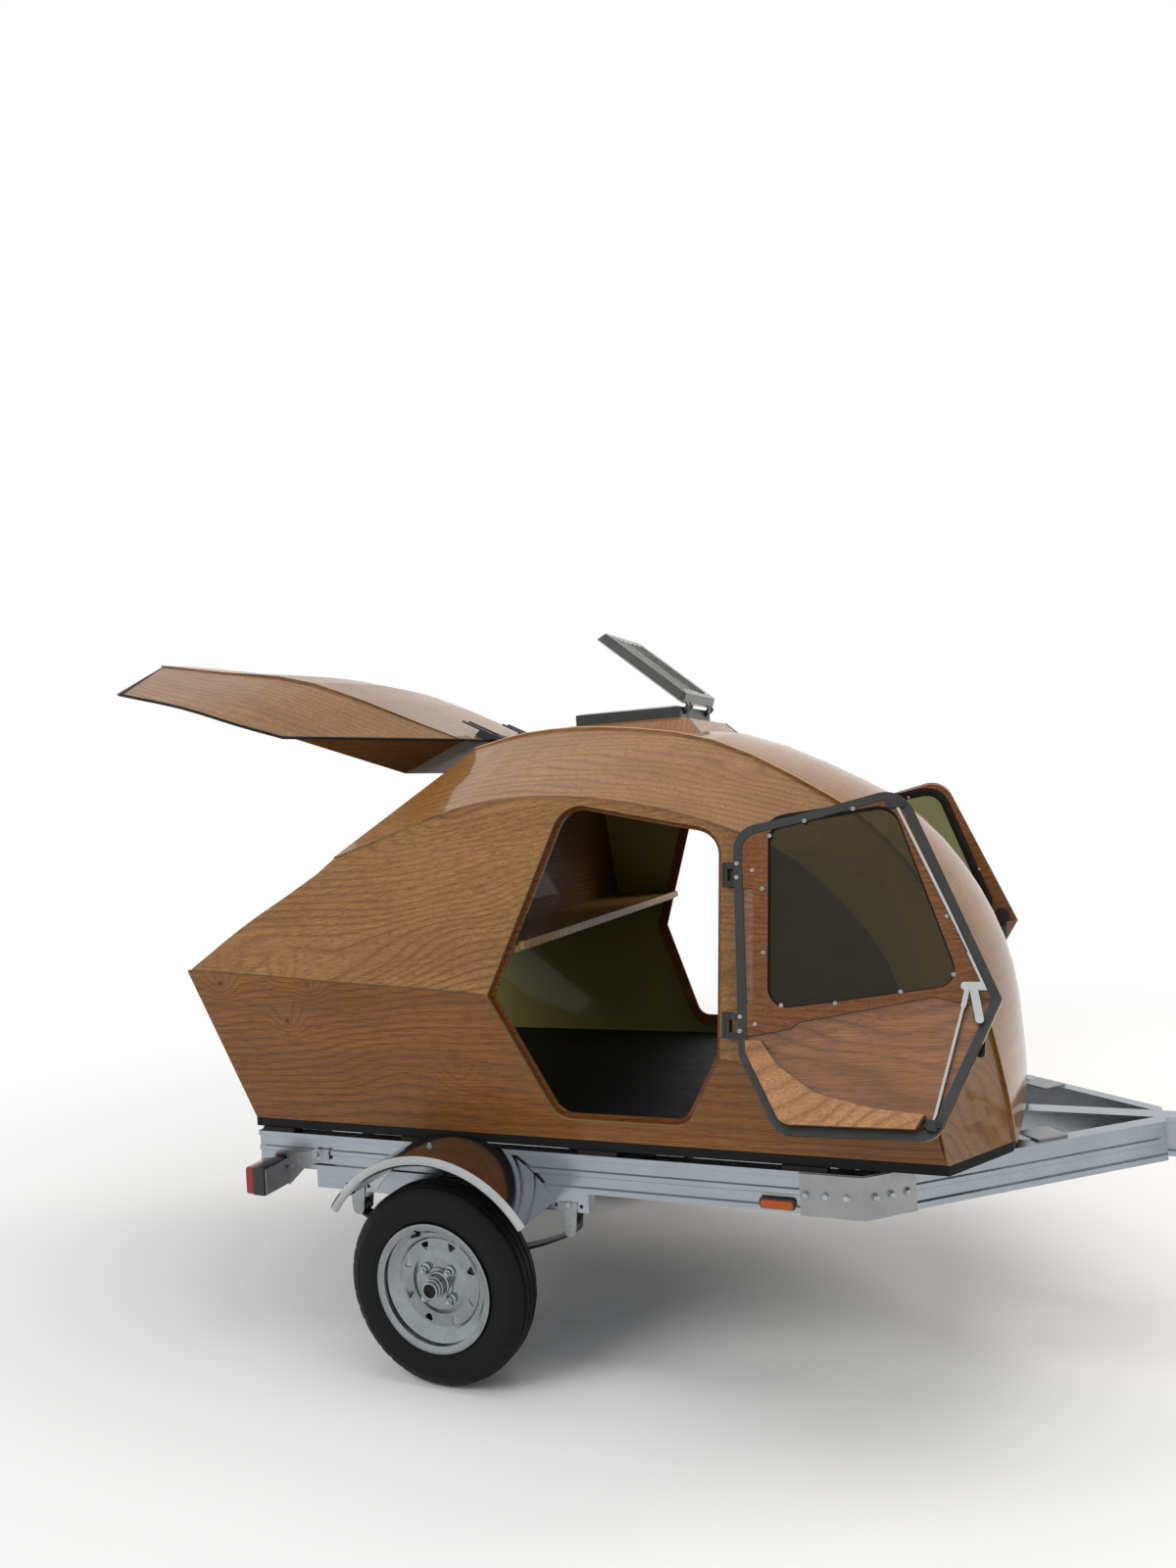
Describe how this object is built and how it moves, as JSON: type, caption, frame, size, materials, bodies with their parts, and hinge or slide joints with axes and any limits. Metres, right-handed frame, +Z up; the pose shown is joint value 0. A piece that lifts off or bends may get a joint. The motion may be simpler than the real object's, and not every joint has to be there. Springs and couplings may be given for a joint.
{
  "type": "teardrop camping trailer",
  "caption": "Small towed teardrop camper with a varnished plywood cabin, side doors, a rear galley hatch, a roof vent and an aluminium frame with an A-shaped tongue.",
  "frame": {"origin": "on the ground, midway along and across the part with its doors and hatch open", "axes": "+X forward to the coupler, +Y to the left, +Z up"},
  "size_m": [3.8433, 1.76, 2.0545],
  "materials": {
    "ply_side": "gloss varnish",
    "ply_roof": "gloss varnish",
    "ply_inner": "satin varnish",
    "counter_wood": "satin",
    "black_edge": "satin",
    "black_rubber": "matte",
    "tyre_rubber": "matte",
    "alloy": "satin",
    "fender_alloy": "polished",
    "steel": "galvanised",
    "black_steel": "satin",
    "glass": "smooth",
    "latch_steel": "polished",
    "lamp_red": "gloss",
    "lamp_amber": "gloss",
    "vent_plastic": "satin",
    "lid_plastic": "smoked gloss",
    "black_plastic": "matte"
  },
  "bodies": {
    "trailer": {"axle": "black_steel", "bulkhead": "ply_inner", "corner_plates": "alloy", "counter_lip": "counter_wood", "coupler": "steel", "cross_members": "alloy", "door_hinge_bases": "black_plastic", "door_rims": "ply_inner", "fenders": "fender_alloy", "floor_pan": "black_edge", "galley_counter": "counter_wood", "hatch_hinge_bases": "black_steel", "jack_tube": "steel", "lamp_brackets": "alloy", "leaf_springs": "black_steel", "lower_sides": "ply_side", "mounting_blocks": "black_rubber", "roof_centre": "ply_roof", "roof_planks": "ply_roof", "side_markers": "lamp_amber", "side_rails": "alloy", "spring_hangers": "steel", "spring_rails": "alloy", "tail_corners": "ply_side", "tail_lamps": "lamp_red", "tail_transom": "ply_side", "tongue_beam": "alloy", "tongue_rails": "alloy", "tongue_tabs": "alloy", "upper_sides": "ply_side", "vent_base": "vent_plastic", "vent_curb": "ply_inner"},
    "wheel_right": {"tyre_right": "tyre_rubber", "rim_right": "steel", "hub_right": "steel"},
    "wheel_left": {"tyre_left": "tyre_rubber", "rim_left": "steel", "hub_left": "steel"},
    "door_right": {"door_right": "ply_side", "door_seal_right": "black_rubber", "door_glass_right": "glass", "door_lining_right": "ply_inner", "door_pocket_right": "ply_side", "door_latch_right": "latch_steel", "door_handle_right": "black_plastic", "door_hinges_right": "black_plastic"},
    "door_left": {"door_left": "ply_side", "door_seal_left": "black_rubber", "door_glass_left": "glass", "door_lining_left": "ply_inner", "door_pocket_left": "ply_side", "door_latch_left": "latch_steel", "door_handle_left": "black_plastic", "door_hinges_left": "black_plastic"},
    "hatch": {"hatch_planks": "ply_roof", "hatch_centre": "ply_roof", "hatch_frame": "ply_inner", "hatch_hinge_leaves": "black_steel"},
    "vent_lid": {"vent_lid": "lid_plastic"},
    "jack_leg": {"jack_leg": "steel"}
  },
  "joints": [
    {"name": "wheel_right_spin", "type": "hinge", "parent": "trailer", "child": "wheel_right", "pos_m": [-0.7755, -0.751, 0.262], "axis": [0, 1, 0], "continuous": true},
    {"name": "wheel_left_spin", "type": "hinge", "parent": "trailer", "child": "wheel_left", "pos_m": [-0.7755, 0.751, 0.262], "axis": [0, 1, 0], "continuous": true},
    {"name": "door_right_swing", "type": "hinge", "parent": "trailer", "child": "door_right", "pos_m": [0.0305, -0.68952, 0.942], "axis": [-0.0109, 0.224, 0.9745], "range_deg": [-179, 0]},
    {"name": "door_left_swing", "type": "hinge", "parent": "trailer", "child": "door_left", "pos_m": [0.0305, 0.68952, 0.942], "axis": [-0.0109, -0.224, 0.9745], "range_deg": [0, 173]},
    {"name": "hatch_lift", "type": "hinge", "parent": "trailer", "child": "hatch", "pos_m": [-0.8155, 0, 1.722], "axis": [0, 1, 0], "range_deg": [-50.5, 0]},
    {"name": "vent_lid_lift", "type": "hinge", "parent": "trailer", "child": "vent_lid", "pos_m": [-0.2025, 0, 1.765], "axis": [0, 1, 0], "range_deg": [-40, 0]},
    {"name": "jack_slide", "type": "slide", "parent": "trailer", "child": "jack_leg", "axis": [0, 0, 1], "range_m": [0, 0.1]}
  ]
}
